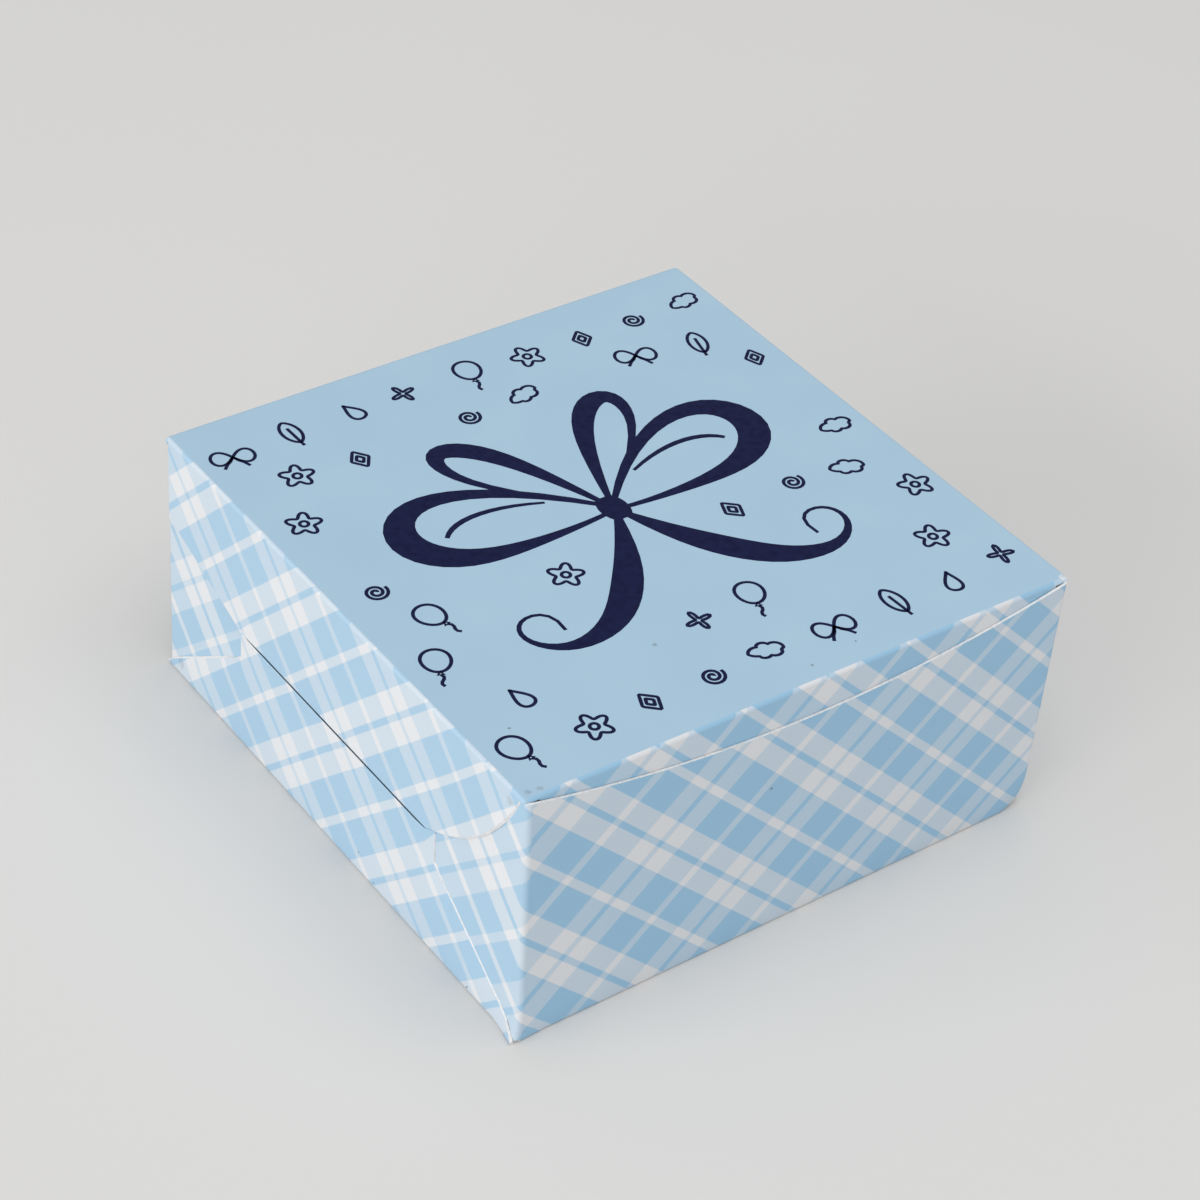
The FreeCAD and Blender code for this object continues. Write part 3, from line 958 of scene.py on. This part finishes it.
def bevel_ear(sheet, centre):
    """Draws the ear's inner edge out past its outer one, so that the cut shows as a thin pale line."""
    for point in sheet.data.vertices:
        spoke = centre - point.co
        spoke.x = 0
        on_ear = spoke.length > EAR_RADIUS - EAR_NEAR and point.co.y < -TONGUE_HALF - PRESS_REACH
        if on_ear and abs(point.co.x) < HALF_WIDTH - BOARD / 2:
            point.co -= spoke.normalized() * EAR_BEVEL


def stand_off(sheet, facing):
    """Stands the ear off its wing, draws the left one back, and closes the slit towards the back."""
    for point in sheet.data.vertices:
        if facing < 0:
            point.co.y += EAR_BACK * fade(-point.co.y, TONGUE_HALF, -FLAP_FRONT)
        low = fade(TOP - point.co.z, FOLD_RADIUS, EAR_STAND_RUN)
        point.co.x += facing * EAR_STAND * low * fade(-point.co.y, TONGUE_HALF, HALF_DEPTH)
        if point.co.z < FLAP_LOW + NEAR:
            point.co.z -= SLIT_CLOSE * fade(point.co.y, TONGUE_HALF - SLIT_CLOSE_RUN, TONGUE_HALF)


def tuck():
    """The tuck flap hangs from its crease, springs against the front wall and leans into the box."""
    depth = TUCK_DEPTH - FOLD_RADIUS
    high = TOP - FOLD_RADIUS
    middle = (0, TUCK_FACE, high - depth / 2)
    sheet = new_sheet("tuck_sheet", 2 * TUCK_HALF, depth, middle, FRONT, TUCK_GRID)
    for side in (-1, 1):
        centre = Vector((side * (TUCK_HALF - TUCK_ROUND), TUCK_FACE, high - depth + TUCK_ROUND))
        along = Vector((side, 0, 0))
        trim_round(sheet, centre, TUCK_ROUND, along, -UP, 0.0, math.pi / 2, ROUND_STEPS)
    edit_all(sheet)
    bpy.ops.transform.rotate(value=-TUCK_LEAN, orient_axis="X", center_override=(0, TUCK_FACE, high))
    leave_edit()
    face_outwards(sheet, Vector((0, -1, 0)))
    thicken(sheet, PLAID)
    print_plaid(sheet, tuck_repeats)
    for point in sheet.data.vertices:
        leftness = (HALF_WIDTH - point.co.x) / (2 * HALF_WIDTH)
        hang = high - point.co.z
        behind = TUCK_FACE + HALF_DEPTH - BOARD - TUCK_TOUCH + hang * math.tan(TUCK_LEAN)
        behind -= (WALL_LEAN - LID_LEAN) * leftness
        point.co.y -= behind * fade(hang, 0.0, TUCK_SPRING) * (1 - fade(hang, TUCK_LEAVE, depth))
    lean_back(sheet, LID_LEAN)
    settle(sheet, None, "tuck_flap")
    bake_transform(sheet)


def crease(name, length, radius, centre, turn, first_cut, outside, repeats=None):
    """A folded strip of board: the quarter of a tube above its axis and beyond the plane of first_cut."""
    clear_selection()
    bpy.ops.mesh.primitive_cylinder_add(
        vertices=4 * CREASE_STEPS, radius=radius, depth=length, end_fill_type="NOTHING",
        location=centre, rotation=turn,
    )
    strip = take_new(name)
    trim(strip, centre, first_cut)
    trim(strip, centre, -UP)
    face_outwards(strip, UP - Vector(first_cut))
    thicken(strip, outside)
    lean_back(strip, LID_LEAN)
    if repeats:
        print_plaid(strip, repeats)
    print_slot(outside)
    return strip


def creases():
    high = TOP - FOLD_RADIUS
    along_x = (0, math.pi / 2, 0)
    along_y = (math.pi / 2, 0, 0)
    for side, name, body, outside, repeats in (
        (-1, "left_crease", "left_flap", PLAID, flap_repeats),
        (1, "right_crease", "right_flap", LID_PRINT, None),
    ):
        edge = side * LID_HALF
        middle = (edge, (LID_BACK + LID_FRONT) / 2, high)
        strip = crease(
            name, LID_BACK - LID_FRONT, FOLD_RADIUS, middle, along_y, (-side, 0, 0), outside, repeats,
        )
        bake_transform(strip)
    middle = (0, LID_BACK, BACK_TOP)
    strip = crease("back_crease", 2 * LID_HALF, BACK_RADIUS, middle, along_x, (0, -1, 0), LID_PRINT)
    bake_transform(strip)
    middle = (0, LID_FRONT, high)
    strip = crease(
        "front_crease", 2 * LID_HALF, FOLD_RADIUS, middle, along_x, (0, 1, 0), PLAID, tuck_repeats,
    )
    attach(strip, "lid")


def lid_tip(name, body, side, end, radius, outside):
    """The rounded tip of the lid where two of its folds meet: the eighth of a hollow ball."""
    clear_selection()
    centre = (side * LID_HALF, LID_FRONT if end < 0 else LID_BACK, TOP - radius)
    bpy.ops.mesh.primitive_uv_sphere_add(
        segments=4 * CREASE_STEPS, ring_count=2 * CREASE_STEPS, radius=radius, location=centre
    )
    tip = take_new(name, (FOLD_RADIUS / radius, 1.0, 1.0))
    inmost = Vector(centre) + Vector((0, end * TIP_GAP, 0))
    for outward in ((-side, 0, 0), (0, -end, 0), (0, 0, -1)):
        trim(tip, inmost, outward)
    face_outwards(tip, Vector((side, end, 1)))
    thicken(tip, outside)
    lean_back(tip, LID_LEAN)
    if outside == PLAID:
        print_plaid(tip, flap_repeats)
    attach(tip, body)


def lid_tips():
    lid_tip("front_left_tip", "lid", -1, -1, FOLD_RADIUS, LID_PRINT)
    lid_tip("front_right_tip", "lid", 1, -1, FOLD_RADIUS, LID_PRINT)
    lid_tip("back_left_tip", "carton", -1, 1, BACK_RADIUS, PLAID)
    lid_tip("back_right_tip", "carton", 1, 1, BACK_RADIUS, LID_PRINT)


# The lid's print in navy: small outlined motifs, and a ribbon bow in thick and thin strokes.
INK_HEIGHT = 0.02 * MM
INK_SLOPE = 0.15 * MM
INK_LAYER = 0.001 * MM
INK_WELD = 0.001 * MM
INK_SMOOTH = math.radians(40.0)
LAYER_APART = 20.0 * MM

# The print's layout, in millimetres. A motif's turn is in radians.
INK_LINE = 0.31
MOTIF_PITCH = 11.6
ROW_PITCH = 0.93
MOTIF_SHIFT = 1.2
MOTIF_TURN = 0.4
MOTIF_MARGIN = 5.0
MOTIF_CLEAR = 5.6
MOTIF_SEED = 11
MOTIF_STEP = 4
BOW_CENTRE = (0.0, -1.0)


def ring_points(count, radius_at):
    """Points round a closed outline: radius_at gives the distance from the middle at each angle."""
    points = []
    for step in range(count):
        angle = 2 * math.pi * step / count
        radius = radius_at(angle)
        points.append((radius * math.cos(angle), radius * math.sin(angle)))
    return points


def flower():
    petals = ring_points(60, lambda angle: 0.39 + 0.11 * math.cos(5 * angle))
    return [(petals, True), (ring_points(16, lambda angle: 0.12), True)]


def leaf():
    outline = []
    for step in range(32):
        angle = 2 * math.pi * step / 32
        outline.append((0.26 * math.sin(angle) * abs(math.sin(angle)) ** 0.3, -0.5 * math.cos(angle)))
    return [(outline, True), ([(0.0, -0.68), (0.0, -0.3), (0.0, 0.05), (0.0, 0.22)], False)]


def cloud():
    def puff(angle):
        bumps = abs(math.sin(2.5 * angle + 0.4)) ** 0.7
        flat = 0.62 if math.sin(angle) < 0 else 1.0
        return (0.36 + 0.14 * bumps) * (1.0 - 0.38 * abs(math.sin(angle)) * (2.0 - flat))
    return [(ring_points(64, puff), True)]


def balloon():
    skin = []
    for x, y in ring_points(28, lambda angle: 0.34):
        skin.append((x * (1.0 + 0.25 * y), y * 1.15 + 0.2))
    knot = [(0.0, -0.19), (-0.07, -0.29), (0.07, -0.29)]
    string = [(0.05 * math.sin(6.3 * t), -0.29 - 0.4 * t) for t in (0.0, 0.2, 0.4, 0.6, 0.8, 1.0)]
    return [(skin, True), (knot, True), (string, False)]


def lozenge():
    shapes = []
    for size in (0.46, 0.2):
        corners = []
        for step in range(4):
            angle = math.pi / 2 * step
            tip = (size * math.cos(angle) * 0.72, size * math.sin(angle))
            turn = angle + math.pi / 2
            after = (size * math.cos(turn) * 0.72, size * math.sin(turn))
            for share in (0.06, 0.35, 0.65, 0.94):
                corners.append(tuple(a + (b - a) * share for a, b in zip(tip, after)))
        shapes.append((corners, True))
    return shapes


def sparkle():
    return [(ring_points(56, lambda angle: 0.12 + 0.4 * abs(math.cos(2 * angle)) ** 4.5), True)]


def droplet():
    outline = []
    for step in range(36):
        angle = 2 * math.pi * step / 36
        outline.append((0.42 * math.sin(angle) * math.sin(angle / 2) ** 1.6, 0.5 * math.cos(angle)))
    return [(outline, True)]


def spiral():
    turns = []
    for step in range(40):
        angle = 4.2 * math.pi * step / 39
        radius = 0.05 + 0.38 * step / 39
        turns.append((radius * math.cos(angle), radius * math.sin(angle)))
    return [(turns, False)]


def little_bow():
    loops = []
    for step in range(44):
        angle = 2 * math.pi * step / 44
        spread = 1.0 + math.sin(angle) ** 2
        loops.append((0.52 * math.cos(angle) / spread, 0.72 * math.sin(angle) * math.cos(angle) / spread))
    shapes = [(loops, True)]
    for side in (-1, 1):
        tail = [(side * x, y) for x, y in ((0.0, 0.0), (0.1, -0.16), (0.2, -0.26), (0.3, -0.42))]
        shapes.append((tail, False))
    return shapes


MOTIFS = (
    (flower, 6.0), (sparkle, 4.6), (leaf, 6.2), (cloud, 6.6), (lozenge, 5.2),
    (balloon, 7.0), (droplet, 4.8), (little_bow, 7.2), (spiral, 4.8),
)


def ink_curve(name):
    curve = bpy.data.curves.new(name, "CURVE")
    curve.dimensions = "3D"
    curve.bevel_depth = MM
    curve.bevel_resolution = 2
    curve.resolution_u = 4
    curve.use_fill_caps = True
    drawing = bpy.data.objects.new(name, curve)
    bpy.context.scene.collection.objects.link(drawing)
    return drawing


def draw_stroke(drawing, points, closed, kind="POLY", layer=0):
    """Adds one pen stroke: points are x, y and half the line's width, in millimetres."""
    line = drawing.data.splines.new(kind)
    line.points.add(len(points) - 1)
    for point, (x, y, half) in zip(line.points, points):
        point.co = (x * MM, y * MM, layer * LAYER_APART, 1.0)
        point.radius = half
    line.use_cyclic_u = closed
    if kind == "NURBS":
        line.use_endpoint_u = not closed
        line.order_u = 4


def ink_on_lid(drawing):
    """Turns the strokes into a mesh, presses it flat and lays it on the lid."""
    make_active(drawing)
    bpy.ops.object.convert(target="MESH")
    edit_all(drawing)
    bpy.ops.mesh.remove_doubles(threshold=INK_WELD)
    leave_edit()
    for point in drawing.data.vertices:
        layer = round(point.co.z / LAYER_APART)
        swell = (point.co.z - layer * LAYER_APART) / INK_SLOPE
        point.co.z = TOP + INK_HEIGHT * min(max(swell, -1.0), 1.0) + layer * INK_LAYER
    edit_all(drawing)
    bpy.ops.mesh.dissolve_degenerate(threshold=INK_WELD)
    leave_edit()
    drawing.data.materials.clear()
    drawing.data.materials.append(INK)
    bpy.ops.object.shade_smooth_by_angle(angle=INK_SMOOTH)
    lean_back(drawing, LID_LEAN)
    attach(drawing, "lid")


BOW_STROKES = (
    ((0.8, 1.4, 0.5), (8, 9, 0.9), (20, 17.5, 1.3), (32, 17, 2.2), (36, 8, 3.3), (29, 0, 2.4),
     (16, -1.5, 1.0), (5, -1, 0.5), (0.8, -0.4, 0.5)),
    ((0.6, 2.0, 0.5), (4, 12, 1.1), (9, 24, 2.2), (17, 29, 2.0), (20, 23, 1.0), (14, 13, 0.5),
     (1.5, 2.2, 0.4)),
    ((0.6, -1.6, 0.6), (4, -9, 1.8), (9, -17, 3.0), (17, -25, 2.3), (27, -27, 0.9), (33, -21, 0.45),
     (30, -15, 0.35), (24, -17, 0.32), (25, -22, 0.32)),
    ((9, 7.0, 0.3), (18, 11, 0.55), (25, 10.5, 0.65), (28, 7, 0.4)),
)
BOW_KNOT = ((0, 3.4, 1.5), (0, 1.6, 3.0), (0, -1.2, 3.0), (0, -3.0, 1.5))


def bow_strokes():
    """The bow's strokes about its place on the lid, each drawn for both sides."""
    middle, level = BOW_CENTRE
    strokes = []
    for stroke in BOW_STROKES:
        for side in (-1, 1):
            strokes.append([(side * x + middle, y + level, half) for x, y, half in stroke])
    strokes.append([(x + middle, y + level, half) for x, y, half in BOW_KNOT])
    return strokes


def near_bow(x, y):
    """How far a place on the lid is from the bow's strokes."""
    nearest = math.inf
    for stroke in bow_strokes():
        for (x1, y1, half1), (x2, y2, half2) in zip(stroke, stroke[1:]):
            for share in (0.0, 0.25, 0.5, 0.75, 1.0):
                gap = math.hypot(x - x1 - (x2 - x1) * share, y - y1 - (y2 - y1) * share)
                nearest = min(nearest, gap - half1 - (half2 - half1) * share)
    return nearest


def lid_motifs():
    drawing = ink_curve("lid_motifs")
    chance = random.Random(MOTIF_SEED)
    limit = HALF_WIDTH / MM - MOTIF_MARGIN
    rows = int(limit / MOTIF_PITCH) + 2
    drawn = 0
    for row in range(-rows, rows + 1):
        for column in range(-rows, rows + 1):
            stagger = 0.5 if row % 2 else 0.0
            x = (column + stagger) * MOTIF_PITCH + chance.uniform(-MOTIF_SHIFT, MOTIF_SHIFT)
            y = row * MOTIF_PITCH * ROW_PITCH + chance.uniform(-MOTIF_SHIFT, MOTIF_SHIFT)
            turn = chance.uniform(-MOTIF_TURN, MOTIF_TURN)
            if max(abs(x), abs(y)) > limit or near_bow(x, y) < MOTIF_CLEAR:
                continue
            motif, size = MOTIFS[(MOTIF_STEP * drawn + row) % len(MOTIFS)]
            drawn += 1
            for points, closed in motif():
                turned = []
                for u, v in points:
                    across = x + size * (u * math.cos(turn) - v * math.sin(turn))
                    along = y + size * (u * math.sin(turn) + v * math.cos(turn))
                    turned.append((across, along, INK_LINE))
                draw_stroke(drawing, turned, closed)
    ink_on_lid(drawing)


def lid_bow():
    drawing = ink_curve("lid_bow")
    for layer, stroke in enumerate(bow_strokes()):
        draw_stroke(drawing, stroke, False, "NURBS", layer)
    ink_on_lid(drawing)


def glue_films():
    for place in ("front_left", "front_right", "back_left", "back_right"):
        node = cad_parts[place + "_glue"]
        node.data.materials.clear()
        node.data.materials.append(GLUE)


# The stage: floor, light and camera.
def stage():
    clear_selection()
    bpy.ops.mesh.primitive_plane_add(size=FLOOR_SIZE, location=(0, 0, 0))
    floor = bpy.context.object
    floor.name = "floor"
    floor.data.materials.append(FLOOR)


def lights():
    world = bpy.data.worlds.new("studio")
    world.use_nodes = True
    sky = world.node_tree.nodes["Background"]
    sky.inputs["Color"].default_value = SKY_COLOUR
    sky.inputs["Strength"].default_value = SKY_STRENGTH
    bpy.context.scene.world = world
    for name, place, across, up, power, colour in LAMPS:
        clear_selection()
        bpy.ops.object.light_add(type="AREA", location=place)
        lamp = bpy.context.object
        lamp.name = name
        lamp.data.shape = "RECTANGLE"
        lamp.data.size = across
        lamp.data.size_y = up
        lamp.data.energy = power
        lamp.data.color = colour
        towards = Vector(LAMP_TARGET) - lamp.location
        lamp.rotation_euler = towards.to_track_quat("-Z", "Y").to_euler()


def camera():
    clear_selection()
    bpy.ops.object.camera_add()
    eye = bpy.context.object
    axes = Matrix((CAMERA_RIGHT, CAMERA_UP, CAMERA_BACK)).transposed()
    eye.matrix_world = Matrix.Translation(CAMERA_PLACE) @ axes.to_4x4()
    eye.data.sensor_width = CAMERA_SENSOR
    eye.data.sensor_fit = "HORIZONTAL"
    eye.data.lens = CAMERA_LENS
    eye.data.clip_start = CAMERA_NEAR
    bpy.context.scene.camera = eye


base()
wall("front_wall", FRONT, -1, WALL_TOP, front_repeats, THUMB_DIP, WALL_LEAN, CORNER_PUSH)
wall("back_wall", BACK, 1, BACK_TOP, back_repeats)
side_panel("left_side_sheet", "left_side_panel", LEFT, -1)
side_panel("right_side_sheet", "right_side_panel", RIGHT, 1)
wings()
lid()
lid_flap("left_flap_sheet", "left_flap", "left_lid_flap", LEFT, -1)
lid_flap("right_flap_sheet", "right_flap", "right_lid_flap", RIGHT, 1)
tuck()
creases()
lid_tips()
lid_motifs()
lid_bow()
glue_films()
stage()
lights()
camera()
bpy.context.scene.view_settings.view_transform = "Standard"
